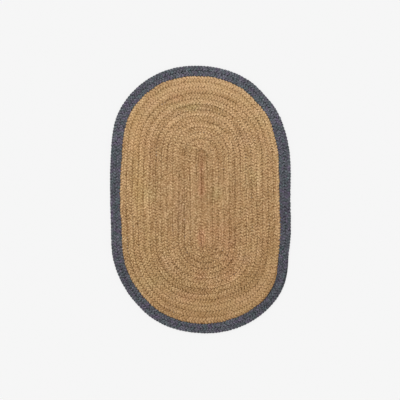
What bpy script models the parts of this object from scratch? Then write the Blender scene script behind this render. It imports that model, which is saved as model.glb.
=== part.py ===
"""An oval braided rug, lying flat.

A maker folds one long jute braid back on itself along a straight seam, then coils it round that
seam edge to edge and stitches each round to the last. A second, dyed braid goes round the outside
in the same way. Each braid is one closed solid here: a slab with a flat underside, and one raised
rib on top for every round, so that the ribs follow the spiral out from the seam.

Metres, +Z up. The rug rests on z = 0, its length runs along Y, and the origin is under the middle
of its outline.
"""

import math

import bmesh
import bpy

# The outline: a straight seam with a round end about each end of it
SEAM_LENGTH = 0.2885
REACH = 0.300  # from the seam to the outer edge
SEAM_ASIDE = 0.00625  # the seam lies this far right of the oval's middle

# The braids
BORDER_WIDTH = 0.03425
JUTE_ROUNDS = 14
BORDER_ROUNDS = 2
THICKNESS = 0.009  # at the top of a rib
VALLEY = 0.0055  # height of the grooves between rounds
RIB = (  # a rib's rounded top: share of its width, share of its rise out of the groove
    (0.00, 0.0),
    (0.18, 0.8),
    (0.50, 1.0),
    (0.82, 0.8),
)
EDGE_HEIGHT = 0.0045  # where the outer edge is widest
EDGE_TUCK = 0.0022  # how far it draws in below that
GAP = 0.0003  # between the two braids

# Each round moves out by one braid over this length, at the foot of the right side
SHIFT_LENGTH = 0.25
# The dyed braid starts on the left side, where the seam between the braids steps in
STEP_AT = 0.574
STEP_SIZE = 0.0035
STEP_LENGTH = 0.02

# How unevenly the rug lies. "round" is the way round the outline, anticlockwise from the foot of the
# right side, as a share of the whole; "out" is how far the edge lies outside a perfect oval.
DRIFT = (
    # round, out
    (0.014, 0.0020),  # right side
    (0.059, 0.0000),
    (0.099, 0.0010),
    (0.147, -0.0055),  # right shoulder of the top end
    (0.183, -0.0035),
    (0.209, -0.0053),
    (0.236, -0.0020),
    (0.304, -0.0018),  # top
    (0.369, 0.0060),
    (0.439, 0.0055),  # left shoulder of the top end
    (0.489, -0.0055),
    (0.524, -0.0020),  # left side
    (0.559, -0.0020),
    (0.619, -0.0060),
    (0.699, -0.0078),  # left shoulder of the bottom end
    (0.749, -0.0015),
    (0.799, 0.0000),  # bottom
    (0.859, 0.0105),
    (0.919, 0.0170),  # right shoulder of the bottom end
    (0.944, 0.0140),
    (0.984, -0.0012),
)
DRIFT_GROWTH = 1.5  # the first rounds lie true, and the drift grows outwards as this power

# Steps along the outline
SIDE_STEPS = 5
END_STEPS = 30

JUTE_COLOUR = (0.407, 0.248, 0.122, 1.0)
BORDER_COLOUR = (0.086, 0.087, 0.102, 1.0)
YARN_ROUGHNESS = 0.9
SHARP_ANGLE = math.radians(50)
MERGE = 0.000005


def clear_scene():
    for thing in list(bpy.data.objects):
        bpy.data.objects.remove(thing, do_unlink=True)


def smooth(share):
    """0 before 0, 1 after 1, and an even S between."""
    share = min(max(share, 0.0), 1.0)
    return share * share * (3.0 - 2.0 * share)


def drift(around):
    """How far the edge lies outside a perfect oval, on a smooth line through the rows of DRIFT."""
    count = len(DRIFT)

    def row(index):
        laps, place = divmod(index, count)
        return DRIFT[place][0] + laps, DRIFT[place][1]

    around = around % 1.0
    before = sum(1 for place, _ in DRIFT if place <= around) - 1
    (x0, y0), (x1, y1), (x2, y2), (x3, y3) = (row(before + k) for k in (-1, 0, 1, 2))
    span = x2 - x1
    slope1 = (y2 - y0) / (x2 - x0) * span
    slope2 = (y3 - y1) / (x3 - x1) * span
    t = (around - x1) / span
    bend = (2 * t**3 - 3 * t**2 + 1) * y1 + (3 * t**2 - 2 * t**3) * y2
    return bend + (t**3 - 2 * t**2 + t) * slope1 + (t**3 - t**2) * slope2


def stations():
    """The places at which the coil is drawn, anticlockwise from the foot of the right side and back
    there: (height of the seam point it turns about, direction outwards, share of the way round)."""
    half = SEAM_LENGTH / 2
    arc = math.pi * REACH
    whole = 2 * (SEAM_LENGTH + arc)
    places = []
    for lap in (0, 1):
        begun = lap * (SEAM_LENGTH + arc)
        sense = 1 - 2 * lap
        for step in range(SIDE_STEPS):
            share = step / SIDE_STEPS
            along = sense * (share * SEAM_LENGTH - half)
            places.append((along, lap * math.pi, (begun + share * SEAM_LENGTH) / whole))
        for step in range(END_STEPS):
            share = step / END_STEPS
            direction = (lap + share) * math.pi
            places.append((sense * half, direction, (begun + SEAM_LENGTH + share * arc) / whole))
    places.append((-half, 2 * math.pi, 1.0))
    return places


def field_edge(around):
    """Distance from the seam to the meeting line of the two braids. It creeps out by STEP_SIZE on
    its way round, and steps back where the dyed braid starts."""
    since_step = (around - STEP_AT) % 1.0
    creep = since_step / (1.0 - STEP_LENGTH)
    if creep > 1.0:
        creep = 1.0 - smooth((since_step - 1.0 + STEP_LENGTH) / STEP_LENGTH)
    return REACH - BORDER_WIDTH + STEP_SIZE * (creep - 0.5)


def moved_out(distance, direction):
    """How much of its move to the next round a groove has made: 0 to 1, over whole steps that end at
    the foot of the right side. Near the seam the move takes the whole of the bottom end."""
    step = math.pi / END_STEPS
    turn = step * min(END_STEPS, math.ceil(SHIFT_LENGTH / max(distance * step, MERGE)))
    return smooth((direction - 2 * math.pi + turn) / turn)


def place(along, direction, around, distance):
    """The point at a distance from the seam, with the rug's drift."""
    share = distance / REACH
    out = distance + drift(around) * share**DRIFT_GROWTH
    aside = SEAM_ASIDE * (1.0 - share)
    return aside + out * math.cos(direction), along + out * math.sin(direction)


def rib_section(inner, outer, rounds, direction):
    """The ribbed top from an inner to an outer distance: (distance, height) pairs, one rounded rib
    for each round. A round narrows to nothing where its braid starts or ends."""
    pitch = (outer - inner) / rounds
    grooves = []
    for count in range(-1, rounds + 1):
        shift = moved_out(inner + max(count, 0) * pitch, direction)
        grooves.append(min(max(inner + (count + shift) * pitch, inner), outer))
    section = []
    for near, far in zip(grooves, grooves[1:]):
        width = far - near
        rise = (THICKNESS - VALLEY) * math.sqrt(min(1.0, width / pitch))
        for across, up in RIB:
            section.append((near + across * width, VALLEY + up * rise))
    section.append((grooves[-1], VALLEY))
    return section


def jute_section(direction, around):
    """The field: ribs from the seam outwards, then straight down to the floor."""
    edge = field_edge(around)
    return rib_section(0.0, edge, JUTE_ROUNDS, direction) + [(edge, 0.0)]


def border_section(direction, around):
    """The border: up from the floor beside the field, over its ribs, and down the outer edge."""
    inner = field_edge(around) + GAP
    ribs = rib_section(inner, REACH, BORDER_ROUNDS, direction)
    return [(inner, 0.0)] + ribs + [(REACH, EDGE_HEIGHT), (REACH - EDGE_TUCK, 0.0)]


def outline_middle():
    """The middle of the outline's box, which becomes the origin."""
    points = [place(*station, REACH) for station in stations()]
    return [(min(p[axis] for p in points) + max(p[axis] for p in points)) / 2 for axis in (0, 1)]


def coiled_solid(name, section_at, closed_section, colour):
    """Draws a braid's section at the first station, extrudes it from station to station, and welds
    the last to the first, one round further in. What is open underneath is then filled."""
    middle = outline_middle()
    bm = bmesh.new()
    row = []
    for station in stations():
        along, direction, around = station
        places = []
        for distance, height in section_at(direction, around):
            x, y = place(along, direction, around, distance)
            places.append((x - middle[0], y - middle[1], height))
        if not row:
            row = [bm.verts.new(spot) for spot in places]
            links = list(zip(row, row[1:]))
            if closed_section:
                links.append((row[-1], row[0]))
            edges = [bm.edges.new(link) for link in links]
            continue
        drawn = bmesh.ops.extrude_edge_only(bm, edges=edges)["geom"]
        edges = [part for part in drawn if isinstance(part, bmesh.types.BMEdge)]
        new = {part for part in drawn if isinstance(part, bmesh.types.BMVert)}
        row = [next(e.other_vert(v) for e in v.link_edges if e.other_vert(v) in new) for v in row]
        for vert, spot in zip(row, places):
            vert.co = spot
        edges = [edge for edge in edges if edge.verts[0] in new and edge.verts[1] in new]
    bmesh.ops.remove_doubles(bm, verts=bm.verts, dist=MERGE)
    bmesh.ops.dissolve_degenerate(bm, edges=bm.edges, dist=MERGE)
    open_edges = [edge for edge in bm.edges if edge.is_boundary]
    if open_edges:
        bmesh.ops.holes_fill(bm, edges=open_edges, sides=0)
    bmesh.ops.recalc_face_normals(bm, faces=bm.faces)
    mesh = bpy.data.meshes.new(name)
    bm.to_mesh(mesh)
    bm.free()
    mesh.shade_smooth()
    mesh.set_sharp_from_angle(angle=SHARP_ANGLE)
    mesh.materials.append(yarn_material(name, colour))
    return bpy.data.objects.new(name, mesh)


def yarn_material(name, colour):
    material = bpy.data.materials.new(name)
    material.use_nodes = True
    shader = material.node_tree.nodes["Principled BSDF"]
    shader.inputs["Base Color"].default_value = colour
    shader.inputs["Roughness"].default_value = YARN_ROUGHNESS
    shader.inputs["Metallic"].default_value = 0.0
    return material


def build_rug():
    clear_scene()
    rug = bpy.data.collections.new("braided_rug")
    bpy.context.scene.collection.children.link(rug)
    rug.objects.link(coiled_solid("jute_field", jute_section, False, JUTE_COLOUR))
    rug.objects.link(coiled_solid("border_braid", border_section, True, BORDER_COLOUR))


build_rug()
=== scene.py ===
# %% [markdown]
# # An oval braided rug
#
# A braided rug is one long, flat plait. The maker folds it back on itself along a straight seam,
# coils it round that seam edge to edge, and stitches every round to the last one. This rug is
# natural jute, and its last two rounds are a second plait, dyed a dark charcoal blue.
#
# The lesson builds it in the same order: plait a straight braid, coil it, then dye it. The rug's
# plain solids are loaded first, as a frame that fixes where everything lies.

# %% Load the solids that the rug has to fit
import math

import bmesh
import bpy
import numpy as np
from mathutils import Matrix, Vector


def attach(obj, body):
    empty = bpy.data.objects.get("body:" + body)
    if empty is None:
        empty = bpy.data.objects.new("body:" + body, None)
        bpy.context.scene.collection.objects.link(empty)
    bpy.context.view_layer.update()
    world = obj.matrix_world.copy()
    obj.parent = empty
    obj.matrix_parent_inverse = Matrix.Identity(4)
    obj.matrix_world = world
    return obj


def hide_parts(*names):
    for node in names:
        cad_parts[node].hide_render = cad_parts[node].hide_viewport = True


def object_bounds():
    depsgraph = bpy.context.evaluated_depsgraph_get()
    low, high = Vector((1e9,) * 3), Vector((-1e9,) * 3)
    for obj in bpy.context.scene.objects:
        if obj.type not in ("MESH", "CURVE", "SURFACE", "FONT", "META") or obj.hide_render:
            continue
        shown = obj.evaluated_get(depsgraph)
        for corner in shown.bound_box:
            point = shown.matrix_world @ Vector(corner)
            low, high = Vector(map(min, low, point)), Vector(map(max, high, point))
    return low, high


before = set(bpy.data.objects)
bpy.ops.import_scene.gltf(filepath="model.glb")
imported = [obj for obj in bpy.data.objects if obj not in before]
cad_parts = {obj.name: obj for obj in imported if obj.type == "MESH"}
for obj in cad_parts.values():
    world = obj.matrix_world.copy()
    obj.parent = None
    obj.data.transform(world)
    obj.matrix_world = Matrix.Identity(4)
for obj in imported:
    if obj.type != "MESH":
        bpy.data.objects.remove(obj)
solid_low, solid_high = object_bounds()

print("solids", sorted(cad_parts), "size", [round(v, 3) for v in solid_high - solid_low])

# %% [markdown]
# ## The view
#
# The picture was taken from straight above. A long lens, far away, shows a flat rug with hardly any
# perspective. Blender's camera looks down its own -Z with +Y up in the picture, so a camera that is
# not turned at all is already the right one.

# %% Put the camera over the rug
FLOOR_IN_VIEW = 1.3285  # metres across the picture
VIEW_MIDDLE = (-0.0012, -0.0017)
LENS = 85.0
SENSOR = 36.0

camera = bpy.data.objects.new("overhead_camera", bpy.data.cameras.new("overhead_camera"))
camera.data.lens = LENS
camera.data.sensor_width = SENSOR
camera.location = (*VIEW_MIDDLE, FLOOR_IN_VIEW * LENS / SENSOR)
bpy.context.scene.collection.objects.link(camera)
bpy.context.scene.camera = camera
print("camera height", round(camera.location.z, 2))

# %% [markdown]
# ## Wiring a material with sums
#
# A procedural material is a lot of small maths. Placing every Math node by hand hides what the sum
# says, so this class wraps a node's output: writing `1 - mask` then adds the node that does it.
# Colours go through Mix nodes instead, because a Math node turns a colour grey.

# %% A small helper for shader maths
class Wire:
    """A node's output, which can be used in a sum like a number."""

    def __init__(self, recipe, socket):
        self.recipe = recipe
        self.socket = socket

    def maths(self, operation, first, second):
        """Adds the Math node that works out one sum of two values."""
        return self.recipe.add("ShaderNodeMath", {"operation": operation}, {0: first, 1: second})

    def __add__(self, other):
        return self.maths("ADD", self, other)

    def __radd__(self, other):
        return self.maths("ADD", other, self)

    def __sub__(self, other):
        return self.maths("SUBTRACT", self, other)

    def __rsub__(self, other):
        return self.maths("SUBTRACT", other, self)

    def __mul__(self, other):
        return self.maths("MULTIPLY", self, other)

    def __rmul__(self, other):
        return self.maths("MULTIPLY", other, self)

    def whole(self):
        """The whole number below."""
        return self.recipe.add("ShaderNodeMath", {"operation": "FLOOR"}, {0: self})


class Recipe:
    """A new material, and the one way in which this lesson adds nodes to it."""

    def __init__(self, name):
        self.material = bpy.data.materials.new(name)
        self.material.use_nodes = True
        self.tree = self.material.node_tree
        self.finish = self.tree.nodes["Principled BSDF"]

    def add(self, kind, settings=None, inputs=None, out=0):
        """Adds a node, sets it up, feeds its inputs, and gives back one of its outputs."""
        node = self.tree.nodes.new(kind)
        for name, value in (settings or {}).items():
            if name == "stops":
                self.set_stops(node.color_ramp, value)
            else:
                setattr(node, name, value)
        for name, value in (inputs or {}).items():
            self.feed(node.inputs[name], value)
        return Wire(self, node.outputs[out])

    def feed(self, socket, value):
        """Links a wire to a socket, or sets the socket to a plain value."""
        if isinstance(value, Wire):
            self.tree.links.new(value.socket, socket)
        else:
            socket.default_value = value

    def set_stops(self, ramp, stops):
        """Gives a colour ramp its stops, each a position and a colour."""
        while len(ramp.elements) < len(stops):
            ramp.elements.new(1.0)
        for element, (position, colour) in zip(ramp.elements, stops):
            element.position = position
            element.color = (*colour, 1.0)

    def stretched(self, vector, scale):
        """A vector with each of its parts scaled by its own number."""
        settings = {"operation": "MULTIPLY"}
        return self.add("ShaderNodeVectorMath", settings, {0: vector, 1: scale})

    def noise(self, vector, scale=1.0, detail=2.0, roughness=0.5):
        """Smooth noise about 0."""
        inputs = {"Vector": vector, "Scale": scale, "Detail": detail, "Roughness": roughness}
        return self.add("ShaderNodeTexNoise", {}, inputs) - 0.5

    def read(self, name):
        """A number that the mesh keeps for each of its points."""
        return self.add("ShaderNodeAttribute", {"attribute_name": name}, out="Fac")

    def step(self, value, low, high):
        """0 where value is under low, 1 where it is over high, with a soft change between."""
        inputs = {"Value": value, "From Min": low, "From Max": high}
        return self.add("ShaderNodeMapRange", {"interpolation_type": "SMOOTHSTEP"}, inputs)

    def tint(self, share, colour, by):
        """A colour, multiplied by another for a share of its strength."""
        # A Mix node has sockets for every kind of value. For colours, A and B are inputs 6 and 7,
        # and the result is output 2.
        settings = {"data_type": "RGBA", "blend_type": "MULTIPLY"}
        return self.add("ShaderNodeMix", settings, {0: share, 6: colour, 7: by}, out=2)


print("material helpers: Wire for the sums, Recipe for the nodes")

# %% [markdown]
# ## Floor and light
#
# The rug lies on a plain pale floor under a soft, even light. A white world is the softest light
# there is. One wide sun from the top of the picture adds just enough direction to round the plaits.
# Flat things are often photographed on a table that is lit from inside, because it leaves hardly
# any shadow round their edge. This floor glows for the same reason.

# %% Lay the floor and light it
WHITE = (1.0, 1.0, 1.0, 1.0)
FLOOR_REACH = 7.0
FLOOR_SIDES = 64
FLOOR_GREY = (0.12, 0.12, 0.12, 1.0)
FLOOR_GLOW = 0.767
SKY = 1.03
SUN = 1.05
SUN_SOFTNESS = math.radians(50)
SUN_LEAN = math.radians(38)  # away from straight overhead, towards the top of the picture
SUN_ASIDE = math.radians(-18)

floor_bm = bmesh.new()
bmesh.ops.create_circle(floor_bm, cap_ends=True, segments=FLOOR_SIDES, radius=FLOOR_REACH)
floor_mesh = bpy.data.meshes.new("floor")
floor_bm.to_mesh(floor_mesh)
floor_bm.free()
floor = bpy.data.objects.new("floor", floor_mesh)
bpy.context.scene.collection.objects.link(floor)

floor_paint = Recipe("pale_floor")
floor_paint.feed(floor_paint.finish.inputs["Base Color"], FLOOR_GREY)
floor_paint.feed(floor_paint.finish.inputs["Emission Color"], WHITE)
floor_paint.feed(floor_paint.finish.inputs["Emission Strength"], FLOOR_GLOW)
floor_paint.feed(floor_paint.finish.inputs["Roughness"], 1.0)
floor_paint.feed(floor_paint.finish.inputs["Specular IOR Level"], 0.0)
floor_mesh.materials.append(floor_paint.material)

world = bpy.data.worlds.new("studio")
world.use_nodes = True
world.node_tree.nodes["Background"].inputs["Color"].default_value = WHITE
world.node_tree.nodes["Background"].inputs["Strength"].default_value = SKY
bpy.context.scene.world = world

sun = bpy.data.objects.new("soft_sun", bpy.data.lights.new("soft_sun", "SUN"))
sun.data.energy = SUN
sun.data.angle = SUN_SOFTNESS
sun.rotation_euler = (-SUN_LEAN, SUN_ASIDE, 0.0)
bpy.context.scene.collection.objects.link(sun)
bpy.context.scene.view_settings.view_transform = "Standard"
print("floor reaches", FLOOR_REACH, "m, sky", SKY, "sun", SUN)

# %% [markdown]
# ## The path of the coil
#
# The rug's outline is an oval: a straight seam with a round end about each end of it. Every round
# of braid lies between two grooves at a distance from that seam. Going once round moves the braid
# out by one width, over a short stretch at the foot of the right side, as it does on a real coil.
# The solids were made from the same sizes, so the plaits take their place.

# %% The sizes of the coil
SEAM_LENGTH = 0.2885
REACH = 0.300  # from the seam to the outer edge
SEAM_ASIDE = 0.00625  # the seam lies this far right of the oval's middle
BORDER_WIDTH = 0.03425
JUTE_ROUNDS = 14
BORDER_ROUNDS = 2
THICKNESS = 0.009
GAP = 0.0003  # between the two braids
EDGE_DRAWN_IN = 0.0014  # leaves room for the lobes along the rug's edge
SHIFT_LENGTH = 0.25  # each round moves out by one braid over this length
SHIFT_STEP = math.pi / 30  # and over whole steps of this turn, as on the solids
JUTE_BRAID = (REACH - BORDER_WIDTH) / JUTE_ROUNDS
print("jute braid", round(JUTE_BRAID, 4), "m wide, dyed braid", BORDER_WIDTH / BORDER_ROUNDS)

# %% [markdown]
# ## Off true
#
# A hand-made rug never lies quite true. Its outline drifts from the perfect oval by a centimetre or
# two, and the line where the two braids meet wanders by a few millimetres. Random noise would make
# some other rug. So both are written down at a few places on the way round, anticlockwise from the
# foot of the right side, and a smooth line goes through them. The solids drift in the same way, but
# their meeting line is simpler.

# %% How far the rug lies off true
DRIFT_GROWTH = 1.5  # the first rounds lie true, and the drift grows outwards as this power
DRIFT = np.array([
    # share of the way round, metres outside a perfect oval
    (0.014, 0.0020),
    (0.059, 0.0000),
    (0.099, 0.0010),
    (0.147, -0.0055),
    (0.183, -0.0035),
    (0.209, -0.0053),
    (0.236, -0.0020),
    (0.304, -0.0018),
    (0.369, 0.0060),
    (0.439, 0.0055),
    (0.489, -0.0055),
    (0.524, -0.0020),
    (0.559, -0.0020),
    (0.619, -0.0060),
    (0.699, -0.0078),
    (0.749, -0.0015),
    (0.799, 0.0000),
    (0.859, 0.0105),
    (0.919, 0.0170),
    (0.944, 0.0140),
    (0.984, -0.0012),
])
MEETING = np.array([
    # share of the way round, metres by which the jute reaches past its even width
    (0.040, -0.0019),
    (0.118, -0.0050),
    (0.205, -0.0037),
    (0.280, -0.0012),
    (0.325, -0.0022),
    (0.400, -0.0004),
    (0.480, -0.0022),
    (0.535, -0.0014),
    (0.572, 0.0014),  # a small step, on the left side
    (0.588, -0.0016),
    (0.660, -0.0011),
    (0.740, 0.0000),
    (0.810, 0.0018),
    (0.860, 0.0008),
    (0.915, 0.0030),
    (0.955, -0.0002),
    (0.985, -0.0019),
])
print("drift", DRIFT[:, 1].min(), "to", DRIFT[:, 1].max(), "m, at", len(DRIFT), "places")

# %% [markdown]
# ## Smooth lines
#
# Two kinds of wandering line are needed again and again: one through the rows of a table, and one
# that is random. Straight lines from point to point would show as corners on the rug, so the first
# is a cubic curve, and the second eases in and out of every point.

# %% Helpers for smooth lines
def smooth(share):
    """0 before 0, 1 after 1, and an even S between."""
    share = np.clip(share, 0.0, 1.0)
    return share * share * (3.0 - 2.0 * share)


def smooth_line(table, around):
    """A smooth line through the rows of a table, which goes on from its last row to its first."""
    before, after = table[-2:] - (1.0, 0.0), table[:2] + (1.0, 0.0)
    rows = np.concatenate([before, table, after])
    at, out = rows[:, 0], rows[:, 1]
    slopes = np.zeros_like(out)
    slopes[1:-1] = (out[2:] - out[:-2]) / (at[2:] - at[:-2])
    i = np.searchsorted(at, around, side="right") - 1
    span = at[i + 1] - at[i]
    t = (around - at[i]) / span
    start = (2 * t**3 - 3 * t**2 + 1) * out[i] + (t**3 - 2 * t**2 + t) * slopes[i] * span
    return start + (3 * t**2 - 2 * t**3) * out[i + 1] + (t**3 - t**2) * slopes[i + 1] * span


def sway(places, seed, every):
    """A smooth random line between -1 and 1 along a length, with a new value at each step."""
    steps = np.maximum(places, 0.0) / every
    knots = np.random.default_rng(seed).uniform(-1.0, 1.0, int(np.max(steps)) + 2)
    before = steps.astype(int)
    return knots[before] + (knots[before + 1] - knots[before]) * smooth(steps - before)


print("an even S", smooth(np.linspace(0.0, 1.0, 5)).round(2))

# %% [markdown]
# ## The outline
#
# Two numbers say where a place on the rug is: its share of the way round, and its distance from the
# seam. They make "one round further out" a plain sum, however the outline drifts. Only the last
# step turns them into x and y. The middle of the outline becomes the origin, as on the solids.

# %% Follow the outline
RIM_POINTS = 2000


def oval(around):
    """The height of the seam point that each place turns about, and the direction outwards."""
    arc = math.pi * REACH
    run = around * 2 * (SEAM_LENGTH + arc)
    lap = (run >= SEAM_LENGTH + arc).astype(float)
    run = run - lap * (SEAM_LENGTH + arc)
    along = (np.minimum(run, SEAM_LENGTH) - SEAM_LENGTH / 2) * (1 - 2 * lap)
    return along, np.maximum(run - SEAM_LENGTH, 0.0) / REACH + lap * math.pi


def place(around, distance):
    """Points on the floor at a distance from the seam, with the rug's drift."""
    along, direction = oval(around)
    share = distance / REACH
    out = distance + smooth_line(DRIFT, around) * share**DRIFT_GROWTH
    aside = SEAM_ASIDE * (1.0 - share)
    return np.stack([aside + out * np.cos(direction), along + out * np.sin(direction)], axis=-1)


way_round = np.linspace(0.0, 1.0, RIM_POINTS, endpoint=False)
rim = place(way_round, np.full(RIM_POINTS, REACH))
rug_middle = (rim.min(0) + rim.max(0)) / 2
print("outline", (rim.max(0) - rim.min(0)).round(3), "middle", rug_middle.round(4))

# %% [markdown]
# ## The meeting line
#
# The dyed braid is stitched against the last round of natural jute, and their lobes press into each
# other. So the line between them has a long bend and a short one, both under a millimetre, on top
# of the places in the table. At the foot of the right side, where the way round starts again, the
# bends fade out, so that the line closes.

# %% Where the two braids meet
EDGE_SWAY = 0.0007
EDGE_BENDS = (
    # seed, metres from bend to bend, share of EDGE_SWAY
    (5, 0.032, 1.0),
    (6, 0.011, 0.6),
)
EDGE_LENGTH = 2.4  # metres round the meeting line
EDGE_FADE = 40  # the bends fade out over one part in this many, at both ends


def field_edge(around):
    """Distance from the seam to the line where the two braids meet."""
    bends = 0.0
    for seed, every, share in EDGE_BENDS:
        bends = bends + share * sway(around * EDGE_LENGTH, seed, every)
    free = smooth(around * EDGE_FADE) * smooth((1 - around) * EDGE_FADE)
    return REACH - BORDER_WIDTH + smooth_line(MEETING, around) + EDGE_SWAY * free * bends


meeting_line = field_edge(way_round)
print("meeting line", meeting_line.min().round(4), "to", meeting_line.max().round(4), "m out")

# %% [markdown]
# ## Grooves
#
# A groove is one long spiral line, and a braid lies between it and the same line one round further
# out. Counting rounds with one running number, such as 3.25 for a quarter of the way round the
# fourth, makes the whole spiral a single line. Rounds of a real rug wander a little from side to
# side, because no plait is evenly tight, so the line is given a slow random sway.

# %% Draw the grooves and measure the braid between them
PER_ROUND = 720  # points that a groove is drawn with, for each round
SWAY = 0.0011
SWAY_EVERY = 0.055  # metres along the groove
THINNEST = 0.0015  # a braid starts and ends where it is this wide
NEVER_ZERO = 1e-6
JUTE_SWAY_SEED = 11
DYED_SWAY_SEED = 12


def length_along(points):
    """How far each point of a line is from its start, measured along the line."""
    steps = np.linalg.norm(np.diff(points, axis=0), axis=1)
    return np.concatenate([[0.0], np.cumsum(steps)])


def grooves(inner_edge, outer_edge, rounds, seed):
    """The two sides of a coiled braid, and the running round number along them."""
    number = np.arange(-PER_ROUND // 2, (rounds + 1) * PER_ROUND + 1) / PER_ROUND
    lap, around = np.floor(number), number % 1.0
    inner, outer = inner_edge(around), outer_edge(around)
    pitch = (outer - inner) / rounds
    distance = inner + np.maximum(lap, 0) * pitch
    steps = np.ceil(SHIFT_LENGTH / np.maximum(distance * SHIFT_STEP, NEVER_ZERO))
    turn = SHIFT_STEP * np.minimum(steps, round(math.pi / SHIFT_STEP))
    shift = smooth((oval(around)[1] - 2 * math.pi + turn) / turn)
    line = inner + (lap + shift) * pitch
    run = length_along(place(around, np.clip(line, inner, outer)))
    free = smooth(number) * smooth(rounds - number)
    line = np.clip(line + SWAY * free * sway(run, seed, SWAY_EVERY), inner, outer)
    points = place(around, line) - rug_middle
    near, far = points[:-PER_ROUND], points[PER_ROUND:]
    wide = np.flatnonzero(np.linalg.norm(far - near, axis=1) > THINNEST)
    braid = slice(wide[0], wide[-1] + 1)
    return number[:-PER_ROUND][braid], near[braid], far[braid]


def at_seam(around):
    """The jute braid starts at the seam itself."""
    return np.zeros_like(around)


def border_start(around):
    """The dyed braid starts a hair's breadth outside the meeting line."""
    return field_edge(around) + GAP


def rug_edge(around):
    """It ends just inside the edge of the rug, where its lobes still have room."""
    return np.full_like(around, REACH - EDGE_DRAWN_IN)


jute_path = grooves(at_seam, field_edge, JUTE_ROUNDS, seed=JUTE_SWAY_SEED)
border_path = grooves(border_start, rug_edge, BORDER_ROUNDS, seed=DYED_SWAY_SEED)
for name, (number, near, far) in (("jute", jute_path), ("dyed", border_path)):
    print(name, "braid length", round(length_along((near + far) / 2)[-1], 2), "m")

# %% [markdown]
# ## Plaiting
#
# In a three-strand plait each strand swings from side to side, and rises over one neighbour and
# dips under the other on every swing. All three do the same thing a third of a repeat apart, so
# where one strand stops after a third, the next one has to start. That makes a third of a repeat
# enough: an Array modifier adds it on again and again, and the strands change places each time.
#
# Each strand is a ring of six points, extruded step by step along its path. The ring is an oval,
# because jute strands flatten where they press on each other. Six points and five steps are few,
# but there are some 2,500 thirds in the rug, and smooth shading hides the corners.

# %% The path of a strand
SPACING = 0.0099  # the length of one third, and so from one lobe to the next along an edge
STRANDS = 3
STEPS = 5
SIDES = 6
STRAND_WIDE = 0.0082
STRAND_HIGH = 0.0043
SPREAD = 0.50  # share by which a strand is wider where it is pressed on the floor
SWING = 0.0071
SQUARENESS = 0.09  # makes a strand stay at the edges for longer
LIFT = 0.00235


def section(strand, step):
    """Where a strand's oval section stands after some steps, as a matrix."""
    through = step / STEPS
    phase = 2 * math.pi * (through + strand) / STRANDS
    rate = 2 * math.pi / STRANDS
    swing = math.sin(phase) - SQUARENESS * math.sin(3 * phase)
    swing_rate = math.cos(phase) - 3 * SQUARENESS * math.cos(3 * phase)
    centre = Vector((SWING * swing, SPACING * through, LIFT * math.sin(2 * phase)))
    ahead = Vector((SWING * swing_rate * rate, SPACING, 2 * LIFT * math.cos(2 * phase) * rate))
    ahead.normalize()
    side = ahead.cross(Vector((0.0, 0.0, 1.0))).normalized()
    up = side.cross(ahead)
    wide = STRAND_WIDE * (1 + SPREAD * max(0.0, -math.sin(2 * phase)))
    turned = Matrix((side * wide / 2, up * STRAND_HIGH / 2, ahead)).transposed()
    return Matrix.Translation(centre) @ turned.to_4x4()


print("a strand swings", SWING, "m to each side and lifts", LIFT)


# %% One third of a repeat
def plait_third():
    """A third of a repeat: each vertex knows its strand, its side and how far through it is."""
    bm = bmesh.new()
    marks = {name: bm.verts.layers.float.new(name) for name in ("strand", "side", "through")}
    out_x = bm.verts.layers.float.new("out_x")
    out_z = bm.verts.layers.float.new("out_z")
    for strand in range(STRANDS):
        here = section(strand, 0)
        ring = bmesh.ops.create_circle(bm, segments=SIDES, radius=1.0)["verts"]
        bmesh.ops.rotate(bm, verts=ring, matrix=Matrix.Rotation(math.pi, 3, "Z"))
        bmesh.ops.transform(bm, matrix=here, verts=ring)
        for side, vert in enumerate(ring):
            vert[marks["strand"]] = strand
            vert[marks["side"]] = side
        edges = list({edge for vert in ring for edge in vert.link_edges})
        rings = [(0, ring, here)]
        for step in range(1, STEPS + 1):
            there = section(strand, step)
            drawn = bmesh.ops.extrude_edge_only(bm, edges=edges)["geom"]
            ring = [part for part in drawn if isinstance(part, bmesh.types.BMVert)]
            fresh = set(ring)
            edges = [part for part in drawn if isinstance(part, bmesh.types.BMEdge)]
            edges = [edge for edge in edges if fresh.issuperset(edge.verts)]
            bmesh.ops.transform(bm, matrix=there @ here.inverted(), verts=ring)
            rings.append((step, ring, there))
            here = there
        for step, ring, where in rings:
            for vert in ring:
                vert[marks["through"]] = step / STEPS
                vert[out_x] = vert.co.x - where.translation.x
                vert[out_z] = vert.co.z - where.translation.z
    bmesh.ops.recalc_face_normals(bm, faces=bm.faces)
    mesh = bpy.data.meshes.new("plait_third")
    bm.to_mesh(mesh)
    bm.free()
    return mesh


third_mesh = plait_third()
print("a third of a repeat", len(third_mesh.polygons), "faces")

# %% [markdown]
# ## A straight braid
#
# The Array modifier lays the third end to end and welds the joins. Its result is made a plain mesh
# straight away, because the points of the braid are moved one by one later on. That leaves the
# cut ends of the strands open, and a face closes each.

# %% Repeat it into a straight braid
WELD = 0.00005


def straight_braid(thirds):
    """A straight braid of that many thirds, closed at both ends, as a new mesh."""
    braid = bpy.data.objects.new("straight_braid", third_mesh)
    bpy.context.scene.collection.objects.link(braid)
    array = braid.modifiers.new("thirds", "ARRAY")
    array.count = thirds
    array.use_relative_offset = False
    array.use_constant_offset = True
    array.constant_offset_displace = (0.0, SPACING, 0.0)
    array.use_merge_vertices = True
    array.merge_threshold = WELD
    shown = braid.evaluated_get(bpy.context.evaluated_depsgraph_get())
    mesh = bpy.data.meshes.new_from_object(shown)
    bpy.data.objects.remove(braid)
    bm = bmesh.new()
    bm.from_mesh(mesh)
    cut_edges = [edge for edge in bm.edges if edge.is_boundary]
    bmesh.ops.holes_fill(bm, edges=cut_edges, sides=0)
    bm.to_mesh(mesh)
    bm.free()
    return mesh


print("points less than", WELD, "m apart are welded")

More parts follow.
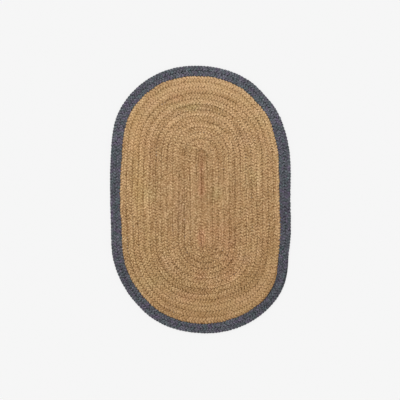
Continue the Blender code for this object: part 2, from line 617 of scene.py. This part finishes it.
# %% [markdown]
# ## Numbers on a mesh
#
# A braid has tens of thousands of points, and Python is slow when it visits them one at a time.
# These helpers fetch one kind of value for all the points at once, as a numpy array, and put it
# back in the same way.

# %% Helpers that read and write a mesh in one go
def read(mesh, name):
    """One number for each point of the mesh."""
    values = np.empty(len(mesh.vertices), np.float32)
    mesh.attributes[name].data.foreach_get("value", values)
    return values.astype(float)


def keep(mesh, name, values):
    """Gives each point of the mesh a new number."""
    attribute = mesh.attributes.new(name, "FLOAT", "POINT")
    attribute.data.foreach_set("value", values.astype(np.float32))


def read_points(mesh):
    """Where each point of the mesh is: one row of x, y and z for each."""
    points = np.empty(len(mesh.vertices) * 3, np.float32)
    mesh.vertices.foreach_get("co", points)
    return points.reshape(-1, 3).astype(float)


third_points = read_points(third_mesh)
print("a third reaches from", third_points.min(0).round(4), "to", third_points.max(0).round(4))

# %% [markdown]
# ## Uneven strands
#
# A strand is never even: it swells, thins, lifts and sinks along its length, and those small faults
# are what makes a rug look like jute and not like a printed pattern. A lobe is the part of a strand
# that shows between two dips. Each lobe gets its own faults, and they fade out towards the dips, so
# that the strand stays in one piece.

# %% Give every lobe its own faults
SWELL = 0.16  # share by which a strand's thickness varies from lobe to lobe
LIFT_FAULT = 0.0006
SIDE_FAULT = 0.0007
EARLY_FAULT = 0.0015  # by which a lobe comes too early or too late
FAULTS = 20000  # more than the rug has lobes
SPARE_LOBES = 3  # the first lobes have numbers below 0
HIDDEN = 0.75  # a strand dips out of sight this many lobes after a swing starts


def follow(mesh, first):
    """For each point of a straight braid: its place along the whole braid, which of the three real
    strands it is on, and its lobe number, whose whole part changes where the strand is hidden."""
    through = read(mesh, "through")
    count = np.round(read_points(mesh)[:, 1] / SPACING - through) + first
    strand = (read(mesh, "strand").round() - count) % STRANDS
    along = (count + through) * SPACING
    return along, strand, 2 / STRANDS * (along / SPACING + strand) - HIDDEN


def uneven(mesh, strand, lobe, seed):
    """The points of a straight braid, moved as uneven strands lie."""
    points = read_points(mesh)
    whole = np.floor(lobe)
    bulge = np.sin(math.pi * (lobe - whole)) ** 2
    faults = np.random.default_rng(seed).uniform(-1.0, 1.0, (FAULTS, 4))
    mine = faults[((whole + SPARE_LOBES) * STRANDS + strand).astype(int)] * bulge[:, None]
    points[:, 0] += read(mesh, "out_x") * mine[:, 0] * SWELL + mine[:, 1] * SIDE_FAULT
    points[:, 2] += read(mesh, "out_z") * mine[:, 0] * SWELL + mine[:, 2] * LIFT_FAULT
    points[:, 1] += mine[:, 3] * EARLY_FAULT
    return points


print("a lobe is up to", SWELL, "thicker or thinner, and up to", EARLY_FAULT, "m early or late")

# %% [markdown]
# ## Two maps for each braid
#
# The fibres run along the strands, so the materials need to know where on its strand a point is.
# The first map, `yarn`, says that in metres: along the strand, and round it. The second lays all
# the strands out in rows on a square, side by side, for a painted copy of the materials.

# %% Lay out the maps
STRAND_ROUND = 0.0185  # metres round a strand
STRAND_APART = 1.0  # keeps the strands' patterns apart on the yarn map
ROW_MARGIN = 0.01
ROW_INSET = 0.04  # share of a row's height that is left free below and above a strand


def lay_maps(mesh, along, strand, thirds, first):
    """Gives a braid its two maps. The side after the last is side 0, so its face counts on."""
    corner_vert = np.empty(len(mesh.loops), np.int32)
    mesh.loops.foreach_get("vertex_index", corner_vert)
    starts = np.empty(len(mesh.polygons), np.int32)
    mesh.polygons.foreach_get("loop_start", starts)
    counts = np.diff(np.append(starts, len(corner_vert)))
    face = np.repeat(np.arange(len(starts)), counts)
    side = read(mesh, "side").round()[corner_vert]
    wraps = np.maximum.reduceat(side, starts) - np.minimum.reduceat(side, starts) > SIDES / 2
    side = np.where(wraps[face] & (side == 0), SIDES, side)
    run, strand = along[corner_vert], strand[corner_vert]
    yarn = np.stack([run, side / SIDES * STRAND_ROUND + strand * STRAND_APART], axis=1)
    strand_length = thirds * SPACING
    rows = math.ceil(math.sqrt(strand_length * STRANDS / STRAND_ROUND))
    row_length = strand_length * STRANDS / rows
    placed = strand * strand_length + run - first * SPACING
    row = np.minimum(np.minimum.reduceat(placed, starts) // row_length, rows - 1)[face]
    u = ROW_MARGIN + (1 - 3 * ROW_MARGIN) * (placed / row_length - row)
    v = (row + ROW_INSET + (1 - 2 * ROW_INSET) * side / SIDES) / rows
    for name, values in (("yarn", yarn), ("OFBake", np.stack([u, v], axis=1))):
        layer = mesh.uv_layers.new(name=name)
        layer.uv.foreach_set("vector", values.astype(np.float32).ravel())


print("yarn map: strands", STRAND_ROUND, "m round, and", STRAND_APART, "m from each other")

# %% [markdown]
# ## Coiling
#
# A straight braid becomes a round of the rug by moving its points. A point's place along the braid
# says how far round the coil it is, and its place across says how far it is from one groove to the
# next. A Curve modifier could bend the braid too, but it follows one line, and here each side of
# the braid has to follow a groove of its own, so that it fills the room between them.
#
# The same step keeps on each point what the materials ask for later: its lobe, its round, its place
# in the braid, and how far it rises out of the braid's middle, towards whoever can see it.

# %% Bend a straight braid along the coil
TIGHTNESS = 0.0024  # by which the lobes crowd together and spread out
TIGHTNESS_EVERY = 0.024
BREADTH = 0.08  # share by which the whole braid widens and narrows
BREADTH_EVERY = 0.12
FLOOR_GAP = 0.0002
UNDERNEATH = -STRAND_HIGH / 8  # a point this far below its strand's middle is seen from below
LOBES_APART = 5000  # keeps the strands' lobe numbers apart


def between(at, run, line):
    """The points of a line at some distances along it."""
    return np.stack([np.interp(at, run, line[:, axis]) for axis in (0, 1)], axis=1)


def coiled_braid(name, path, first, thirds, all_thirds, seed):
    """One length of the coil: thirds first to first + thirds, of all_thirds on the path."""
    number, near, far = path
    mesh = straight_braid(thirds)
    mesh.name = name
    along, strand, lobe = follow(mesh, first)
    points = uneven(mesh, strand, lobe, seed)
    run = length_along((near + far) / 2)
    crowd = TIGHTNESS * sway(along, seed + 1, TIGHTNESS_EVERY)
    at = (points[:, 1] + first * SPACING) * run[-1] / (all_thirds * SPACING) + crowd
    at = np.clip(at, 0.0, run[-1])
    inner, outer = between(at, run, near), between(at, run, far)
    breadth = 1 + BREADTH * sway(along, seed + 2, BREADTH_EVERY)
    across = points[:, 0] * breadth / JUTE_BRAID + 0.5
    width = np.linalg.norm(outer - inner, axis=1)
    thin = np.sqrt(np.clip(width / JUTE_BRAID, 0.0, 1.0))
    laid = np.empty_like(points)
    laid[:, :2] = inner + (outer - inner) * across[:, None]
    laid[:, 2] = np.maximum((THICKNESS / 2 + points[:, 2]) * thin, FLOOR_GAP)
    mesh.vertices.foreach_set("co", laid.astype(np.float32).ravel())
    rise = laid[:, 2] - THICKNESS / 2
    underneath = read(mesh, "out_z") < UNDERNEATH
    keep(mesh, "rise", np.where(underneath, np.abs(rise), rise))
    keep(mesh, "lobe", lobe + strand * LOBES_APART)
    keep(mesh, "round", np.interp(at, run, number))
    keep(mesh, "across", across)
    keep(mesh, "along", along)
    lay_maps(mesh, along, strand, thirds, first)
    mesh.shade_smooth()
    piece = bpy.data.objects.new(name, mesh)
    bpy.context.scene.collection.objects.link(piece)
    return piece


print("lobes crowd together by up to", TIGHTNESS, "m, and the braid widens by up to", BREADTH)

# %% [markdown]
# ## The two braids
#
# The jute braid is some twenty metres long. As one mesh it would be slow to edit and to export, so
# it is made in four lengths. They follow on from each other on the same coil, and share its faults,
# so the joins don't show. The dyed braid is short enough to stay in one.

# %% Make the braids
JUTE_LENGTHS = 4
JUTE_SEED = 30
DYED_SEED = 40


def count_thirds(path):
    """How many thirds of a repeat fill a coil."""
    return round(length_along((path[1] + path[2]) / 2)[-1] / SPACING)


jute_thirds = count_thirds(jute_path)
border_thirds = count_thirds(border_path)
jute_pieces = []
for part in range(JUTE_LENGTHS):
    first = jute_thirds * part // JUTE_LENGTHS
    last = jute_thirds * (part + 1) // JUTE_LENGTHS
    name = f"jute_braid_{part + 1}"
    jute_pieces.append(coiled_braid(name, jute_path, first, last - first, jute_thirds, JUTE_SEED))
    print(name, last - first, "thirds", 2 * len(jute_pieces[-1].data.polygons), "triangles")
border_piece = coiled_braid("dyed_braid", border_path, 0, border_thirds, border_thirds, DYED_SEED)
print("dyed_braid", border_thirds, "thirds", 2 * len(border_piece.data.polygons), "triangles")

# %% [markdown]
# ## Paler and darker rounds
#
# The jute in one rug comes from several bundles, so some rounds are paler or darker than their
# neighbours for a stretch. The braid is also darker along the seam, where it is folded back, and
# the grain of the outer rounds is softer at the two ends. All this belongs to places on this rug,
# so it is written down. Each row of the tables is one soft spot: where it is, how far it reaches
# before it has mostly faded, and how strong it is.

# %% Paler and darker stretches
TONES = np.array([
    # way round, rounds out, reach round, reach out, tone
    (0.390, 9.45, 0.115, 0.38, 2.0),
    (0.560, 9.30, 0.050, 0.38, 1.4),
    (0.315, 8.70, 0.120, 0.28, -1.6),
    (0.462, 7.95, 0.022, 0.50, -2.4),
    (0.520, 8.00, 0.022, 0.50, -2.2),
    (0.620, 8.50, 0.060, 0.25, -1.8),
    (0.420, 8.50, 0.060, 0.22, -2.0),
    (0.050, 8.50, 0.070, 0.22, -2.0),
    (0.110, 9.25, 0.060, 0.55, -1.2),
    (0.930, 8.10, 0.030, 0.40, -1.8),
    (0.785, 8.75, 0.060, 0.30, -1.4),
    (0.922, 8.50, 0.025, 0.45, -2.4),
    (0.188, 8.10, 0.018, 0.45, -2.4),
    (0.222, 7.80, 0.014, 0.90, 1.6),
    (0.295, 7.20, 0.022, 0.40, 1.8),
    (0.395, 7.40, 0.026, 0.40, 1.8),
    (0.133, 11.10, 0.014, 0.50, -2.6),
    (0.190, 11.00, 0.045, 0.40, -1.2),
    (0.250, 11.30, 0.022, 0.50, -2.2),
    (0.330, 11.10, 0.040, 0.40, -0.8),
    (0.570, 11.20, 0.090, 0.90, 1.1),
    (0.300, 12.40, 0.120, 0.40, 1.8),
    (0.100, 10.40, 0.035, 0.35, 1.2),
    (0.190, 9.60, 0.014, 0.80, 1.8),
    (0.905, 7.60, 0.016, 0.80, 2.4),
    (0.905, 6.20, 0.018, 0.40, -1.8),
    (0.320, 3.40, 0.060, 0.90, 1.2),
    (0.300, 3.00, 0.060, 0.30, 2.6),
    (0.478, 3.20, 0.022, 0.40, -2.4),
    (0.722, 4.90, 0.024, 0.45, -2.0),
    (0.740, 2.00, 0.050, 0.40, 1.6),
    (0.800, 0.60, 0.040, 0.50, -1.6),
    (0.355, 4.70, 0.022, 0.40, -1.4),
    (0.375, 6.00, 0.012, 0.50, -1.6),
    (0.278, 6.10, 0.014, 0.40, -1.6),
    (0.915, 3.25, 0.022, 0.40, 1.6),
    (0.835, 2.40, 0.014, 0.40, -1.8),
    (0.940, 2.60, 0.030, 0.35, -1.4),
    (0.950, 3.80, 0.012, 0.50, -1.8),
    (0.710, 9.90, 0.120, 0.80, 0.8),
])
SEAM_TONES = np.array([
    # x, y, reach across, reach up, tone
    (0.004, 0.054, 0.0035, 0.062, -4.2),  # the dark seam
    (0.009, 0.140, 0.012, 0.024, -1.4),
    (0.004, -0.028, 0.005, 0.026, -1.8),
])
BORDER_TONES = np.array([
    # way round, rounds out, reach round, reach out, tone
    (0.030, 1.0, 0.080, 4.0, -4.5),
    (0.980, 1.0, 0.045, 4.0, -4.5),
    (0.190, 1.0, 0.024, 4.0, 3.4),
    (0.278, 1.0, 0.032, 4.0, 5.0),
    (0.660, 1.0, 0.036, 4.0, -3.4),
    (0.900, 1.0, 0.050, 4.0, -1.8),
])
CALM = np.array([
    # way round, rounds out, reach round, reach out, share by which the grain is softer there
    (0.310, 12.0, 0.100, 2.2, 1.0),
    (0.450, 11.8, 0.050, 1.8, 0.7),
    (0.860, 12.0, 0.150, 2.6, 1.0),
])
print("tone spots", len(TONES) + len(SEAM_TONES) + len(BORDER_TONES), "calm spots", len(CALM))

# %% [markdown]
# ## Redder and yellower jute
#
# Some bundles are redder, where the stalks were steeped for longer, and others yellower. A minus
# sign in a row's last column does the opposite there: greener jute, or greyer. These spots cross
# several rounds, so they are placed by x and y.

# %% Patches of colour
REDDER = np.array([
    # x, y, reach across, reach up, strength
    (0.004, 0.105, 0.009, 0.050, 4.0),  # along the seam
    (0.004, 0.033, 0.009, 0.026, 6.0),
    (0.003, -0.125, 0.010, 0.028, 6.5),
    (0.060, -0.120, 0.050, 0.045, 2.4),
    (0.100, -0.185, 0.025, 0.060, 2.2),
    (-0.078, 0.340, 0.020, 0.014, 2.8),
    (-0.190, 0.190, 0.045, 0.040, 1.6),
    (0.003, -0.250, 0.020, 0.020, 2.6),
    (0.090, -0.260, 0.020, 0.020, 2.2),
    (-0.050, -0.325, 0.070, 0.020, 1.6),
    (-0.035, 0.306, 0.060, 0.012, -3.6),  # and where the jute is greener
    (-0.170, 0.015, 0.030, 0.030, -2.4),
    (0.053, 0.015, 0.020, 0.024, -3.6),
    (0.175, 0.078, 0.028, 0.034, -2.0),
    (-0.150, -0.268, 0.080, 0.040, -2.0),
    (0.205, 0.262, 0.024, 0.024, -2.2),
])
YELLOWER = np.array([
    # x, y, reach across, reach up, strength
    (-0.215, 0.215, 0.026, 0.140, 3.4),
    (-0.205, 0.030, 0.030, 0.070, 4.2),
    (-0.180, -0.155, 0.060, 0.080, 2.2),
    (0.030, -0.340, 0.040, 0.016, 2.2),
    (-0.080, 0.280, 0.045, 0.012, -2.6),  # and where it is greyer
    (0.017, 0.304, 0.024, 0.016, -4.0),
    (0.140, 0.200, 0.034, 0.024, -3.4),
    (-0.064, -0.040, 0.022, 0.060, -3.0),
    (-0.106, -0.220, 0.024, 0.026, -3.0),
    (0.146, -0.200, 0.020, 0.016, -3.4),
])
print("colour spots", len(REDDER) + len(YELLOWER))

# %% [markdown]
# ## From tables to points
#
# A material could work out every spot for itself, but that would take hundreds of nodes. So the
# spots are added up here, once for each point, and kept on the mesh, where the material reads the
# sum like any other number. The two sides of a braid also get painted light and shade of their own,
# as on a braid that rolls slightly, and painted light makes the rug paler towards its top.

# %% Keep the tones on the braids
# Painted light and shade: one side of a braid paler and the other darker for a stretch, as on a
# braid that rolls slightly.
PAINTED_ROLL_LIGHT = 1.6  # by which the two sides of a braid are paler or darker for a stretch
STREAK_EVERY = 0.12
INNER_STREAK_SEED = 51
OUTER_STREAK_SEED = 52
# Painted light: the rug is made paler from its middle to its top, as if lit from the top.
PAINTED_LIGHT_UP = 1.65  # tone from the middle of the rug to its top
PALER_OUT = 0.85  # and from the seam to the outer rounds


def soft_spots(rows, first, second):
    """The sum of many soft spots, each a row of two places, two reaches and a strength."""
    total = np.zeros_like(first)
    for middle_1, middle_2, reach_1, reach_2, strength in rows:
        far = ((first - middle_1) / reach_1) ** 2 + ((second - middle_2) / reach_2) ** 2
        total += strength * np.exp(-far)
    return total


def roll_light_and_shade(along, across):
    """Painted light and shade for a braid's inner side and its outer side, blended in the middle.
    """
    outer_side = smooth(across * 2 - 0.5)  # changes over the middle half of the braid
    inner_streak = sway(along, INNER_STREAK_SEED, STREAK_EVERY)
    outer_streak = sway(along, OUTER_STREAK_SEED, STREAK_EVERY)
    return inner_streak * (1 - outer_side) + outer_streak * outer_side


for piece in [*jute_pieces, border_piece]:
    mesh = piece.data
    x, y, _ = read_points(mesh).T
    number, across = read(mesh, "round"), read(mesh, "across")
    around, out = number % 1.0, np.floor(number) + across
    # Painted light: the tone grows paler towards the top of the rug.
    tone = PAINTED_LIGHT_UP * y / solid_high.y + PAINTED_ROLL_LIGHT * roll_light_and_shade(read(mesh, "along"), across)
    if piece is border_piece:
        tone += soft_spots(BORDER_TONES, around, out)
    else:
        tone += PALER_OUT * (out / JUTE_ROUNDS - 0.5)
        tone += soft_spots(TONES, around, out) + soft_spots(SEAM_TONES, x, y)
    keep(mesh, "tone", tone)
    keep(mesh, "calm", soft_spots(CALM, around, out))
    keep(mesh, "red", soft_spots(REDDER, x, y))
    keep(mesh, "yellow", soft_spots(YELLOWER, x, y))
    print(piece.name, "tones", tone.min().round(1), "to", tone.max().round(1))

# %% [markdown]
# ## What both materials share
#
# Jute is a bast fibre: long, stiff, slightly glossy hairs that run along the strand. A photograph
# of fibres could be laid on the strands, but it would repeat, and it would not know where the dips
# and grooves are. Noise that is stretched along the yarn map gives hairs that never repeat. The
# numbers kept on the points do the rest: which lobe this is, and how deep down a point lies.

# %% Fibres, streaks, lobes and creases
HAIRS = (90.0, 2600.0, 1.0)  # for each metre along a strand, and round it
BUNDLES = (320.0, 460.0, 1.0)
STREAKS_ALONG = 32.0  # for each metre along a braid
STREAKS_ACROSS = 4.5  # for each braid's width
# Painted shade darkens the jute near the groove between two rounds, growing from the first of these
# to the second.
GROOVE_SHADE_BAND = (0.15, 0.27)  # squared distance from a braid's middle line, in braid widths
CREASE_TO_CREST = (-0.0010, 0.0027)  # metres that a point rises out of the braid's middle


def fibres(recipe):
    """Fine hairs along a strand, and the rope-like bundles that they lie in."""
    yarn = recipe.add("ShaderNodeUVMap", {"uv_map": "yarn"})
    hair = recipe.noise(recipe.stretched(yarn, HAIRS), detail=3.0, roughness=0.65)
    return hair, recipe.noise(recipe.stretched(yarn, BUNDLES))


def rounds(recipe):
    """Streaks along a braid for a few lobes, and painted shade in the groove between rounds."""
    across = recipe.read("across")
    inputs = {"X": recipe.read("along") * STREAKS_ALONG, "Y": across * STREAKS_ACROSS}
    streaks = recipe.noise(recipe.add("ShaderNodeCombineXYZ", {}, inputs), detail=1.0)
    aside = across - 0.5
    return streaks, recipe.step(aside * aside, *GROOVE_SHADE_BAND)


def lobes(recipe, seed):
    """A random number about 0 for each lobe: the part of a strand between two dips."""
    lobe = recipe.read("lobe").whole() + seed
    return recipe.add("ShaderNodeTexWhiteNoise", {"noise_dimensions": "1D"}, {"W": lobe}) - 0.5


def crest(recipe):
    """0 down in the creases between lobes, and 1 on top of them, or underneath them."""
    # The creases get painted shade by this mask, and the tops a painted highlight.
    return recipe.step(recipe.read("rise"), *CREASE_TO_CREST)


print("hairs for each metre along a strand and round it", HAIRS[:2])

# %% [markdown]
# ## How the light catches a strand
#
# Jute is dull, and only its palest hairs have a faint gloss. The ridges between hairs are much
# finer than the mesh, so a Bump node does them: it tilts the light, and leaves the surface where it
# is. Lobes and grooves are large enough to show in the outline, so they are real shapes instead.

# %% A dull surface that the fibres make rough
DULL = 0.88
HAIR_SHINE = 0.2  # by which a pale hair is shinier than a dark one
GLOSS = 0.2
RIDGES = 0.6
RIDGE_HEIGHT = 0.0005


def rough_up(recipe, hair, bundle):
    """Gives a material its roughness, its gloss and the ridges of its fibres."""
    recipe.feed(recipe.finish.inputs["Roughness"], DULL - hair * HAIR_SHINE)
    recipe.feed(recipe.finish.inputs["Specular IOR Level"], GLOSS)
    inputs = {"Strength": RIDGES, "Distance": RIDGE_HEIGHT, "Height": hair + bundle}
    recipe.feed(recipe.finish.inputs["Normal"], recipe.add("ShaderNodeBump", {}, inputs))


print("ridges up to", RIDGE_HEIGHT, "m high")

# %% [markdown]
# ## Jute
#
# Raw jute runs from pale straw to golden brown, so one number, the tone, picks a colour from a
# ramp of five. Everything that makes jute paler or darker adds its share to that number: hairs,
# bundles, streaks, lobes and the spots kept on the mesh. Red, green, yellow and grey are laid over
# it afterwards, because they change the hue and hardly the tone. Last come the creases, which are
# browner, because little light gets into them.

# %% The colours of jute
STRAW = (0.66, 0.445, 0.245)
PALE = (0.546, 0.358, 0.188)
GOLD = (0.403, 0.249, 0.117)
BROWN = (0.293, 0.166, 0.068)
BARK = (0.16, 0.075, 0.025)
JUTE_STOPS = ((0.0, BARK), (0.28, BROWN), (0.5, GOLD), (0.74, PALE), (1.0, STRAW))
RED_STALK = (1.06, 0.94, 1.0, 1.0)
GREEN_STALK = (0.94, 1.06, 1.0, 1.0)
YELLOW_STALK = (1.0, 1.0, 0.83, 1.0)
GREY_STALK = (1.0, 1.0, 1.18, 1.0)
# Painted shade: the colour that the jute in the creases between lobes is multiplied by.
CREASE_SHADE = (0.95, 0.90, 0.82, 1.0)
print("jute colours", len(JUTE_STOPS))

# %% What each thing adds to the tone of jute
JUTE_TONE = 0.47
JUTE_HAIR = 0.4
JUTE_BUNDLE = 2.5
JUTE_STREAK = 0.65
JUTE_LOBE = 0.06
# Partly wear and partly a painted highlight: the tops of the lobes are paler.
JUTE_WEAR_AND_HIGHLIGHT = 0.02
# Painted shade beside the grooves between rounds.
JUTE_GROOVE_SHADE = 0.12
JUTE_SPOT = 0.065
SPECKLE = 0.24
SPECKLE_SCALE = 110.0
CLOUD = 0.12
CLOUD_SCALE = 16.0
CALM_GRAIN = 0.6  # share of the grain that goes in a calm spot
CALM_GROOVE_SHADE = 0.14
RED_CLOUD = 1.1
RED_SCALE = 26.0
RED_SPOT = 0.22
YELLOW_CLOUD = 0.8
YELLOW_SCALE = 24.0
YELLOW_SPOT = 0.125
LOBE_TONE_SEED = 0.5


def jute_tone(recipe, spot, hair, bundle):
    """The number that picks a colour of jute."""
    streaks, groove_shade = rounds(recipe)
    calm = recipe.read("calm")
    grain = hair * JUTE_HAIR + bundle * JUTE_BUNDLE + streaks * JUTE_STREAK
    grain = grain + lobes(recipe, LOBE_TONE_SEED) * JUTE_LOBE
    grain = grain + recipe.noise(spot, scale=SPECKLE_SCALE, detail=1.0) * SPECKLE
    tone = JUTE_TONE + grain * (1 - calm * CALM_GRAIN)
    # Painted shade beside the grooves between rounds, less in a calm spot; and the lobes' tops
    # paler, partly from wear and partly as a painted highlight.
    tone = tone - groove_shade * (JUTE_GROOVE_SHADE - calm * CALM_GROOVE_SHADE) + crest(recipe) * JUTE_WEAR_AND_HIGHLIGHT
    tone = tone + recipe.noise(spot, scale=CLOUD_SCALE) * CLOUD
    return tone + recipe.read("tone") * JUTE_SPOT


print("the tone of plain jute", JUTE_TONE)

# %% The jute material
def jute():
    """The material of the natural braid."""
    recipe = Recipe("jute")
    spot = recipe.add("ShaderNodeTexCoord", out="Object")
    hair, bundle = fibres(recipe)
    tone = jute_tone(recipe, spot, hair, bundle)
    colour = recipe.add("ShaderNodeValToRGB", {"stops": JUTE_STOPS}, {"Fac": tone})
    red = recipe.noise(spot, scale=RED_SCALE, detail=3.0) * RED_CLOUD
    red = red + recipe.read("red") * RED_SPOT
    colour = recipe.tint(red, colour, RED_STALK)
    colour = recipe.tint(0 - red, colour, GREEN_STALK)
    yellow = recipe.noise(spot, scale=YELLOW_SCALE, detail=3.0) * YELLOW_CLOUD
    yellow = yellow + recipe.read("yellow") * YELLOW_SPOT
    colour = recipe.tint(yellow, colour, YELLOW_STALK)
    colour = recipe.tint(0 - yellow, colour, GREY_STALK)
    # Painted shade in the creases, browner because little light gets into them.
    colour = recipe.tint(1 - crest(recipe), colour, CREASE_SHADE)
    recipe.feed(recipe.finish.inputs["Base Color"], colour)
    rough_up(recipe, hair, bundle)
    return recipe.material


jute_finish = jute()
print(jute_finish.name, len(jute_finish.node_tree.nodes), "nodes")

# %% [markdown]
# ## Dyed jute
#
# The border is the same plait in jute that has been dyed. Jute takes dye unevenly, so the charcoal
# blue drifts towards violet and grey-green from lobe to lobe, and a few fibres stay pale. It is
# built like the natural jute, with its own ramp, and needs fewer shares because dark jute shows
# less.

# %% The colours of dyed jute, and what each thing adds to its tone
MIST = (0.21, 0.215, 0.25)
SLATE = (0.135, 0.138, 0.160)
CHARCOAL = (0.086, 0.087, 0.102)
INK = (0.040, 0.040, 0.048)
DYED_STOPS = ((0.1, INK), (0.5, CHARCOAL), (0.8, SLATE), (1.0, MIST))
VIOLET = (1.18, 0.93, 1.22, 1.0)
TEAL = (0.82, 1.07, 0.98, 1.0)
# Painted shade in the creases between the dyed braid's lobes.
DYED_CREASE_SHADE = (0.52, 0.52, 0.52, 1.0)
DYED_TONE = 0.475
DYED_HAIR = 0.5
DYED_BUNDLE = 2.6
DYED_LOBE = 0.18
DYED_SPOT = 0.02
DYED_CLOUD = 0.12
DYED_CLOUD_SCALE = 20.0
HUE_CLOUD = 3.0
HUE_SCALE = 60.0
LOBE_HUE_SEED = 7.5
print("dyed colours", len(DYED_STOPS))


# %% The dyed material
def dyed_jute():
    """The material of the dyed braid."""
    recipe = Recipe("dyed_jute")
    spot = recipe.add("ShaderNodeTexCoord", out="Object")
    hair, bundle = fibres(recipe)
    tone = DYED_TONE + hair * DYED_HAIR + bundle * DYED_BUNDLE
    tone = tone + lobes(recipe, LOBE_TONE_SEED) * DYED_LOBE + recipe.read("tone") * DYED_SPOT
    tone = tone + recipe.noise(spot, scale=DYED_CLOUD_SCALE) * DYED_CLOUD
    colour = recipe.add("ShaderNodeValToRGB", {"stops": DYED_STOPS}, {"Fac": tone})
    hue = recipe.noise(spot, scale=HUE_SCALE, detail=3.0) * HUE_CLOUD
    hue = hue + lobes(recipe, LOBE_HUE_SEED)
    colour = recipe.tint(hue, colour, VIOLET)
    colour = recipe.tint(0 - hue, colour, TEAL)
    # Painted shade: the creases between lobes are darkened.
    colour = recipe.tint(1 - crest(recipe), colour, DYED_CREASE_SHADE)
    recipe.feed(recipe.finish.inputs["Base Color"], colour)
    rough_up(recipe, hair, bundle)
    return recipe.material


dyed_finish = dyed_jute()
print(dyed_finish.name, len(dyed_finish.node_tree.nodes), "nodes")

# %% [markdown]
# ## Put the rug together
#
# Each length of braid takes the place of the plain solid that it was coiled in: it hides the solid
# and moves with the same body. Nothing on a rug moves by itself, so that is the one root body.

# %% Finish the pieces
for piece in jute_pieces:
    piece.data.materials.append(jute_finish)
    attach(piece, "root")
    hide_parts("jute_field")
border_piece.data.materials.append(dyed_finish)
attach(border_piece, "root")
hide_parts("border_braid")
print("pieces", len(jute_pieces) + 1)
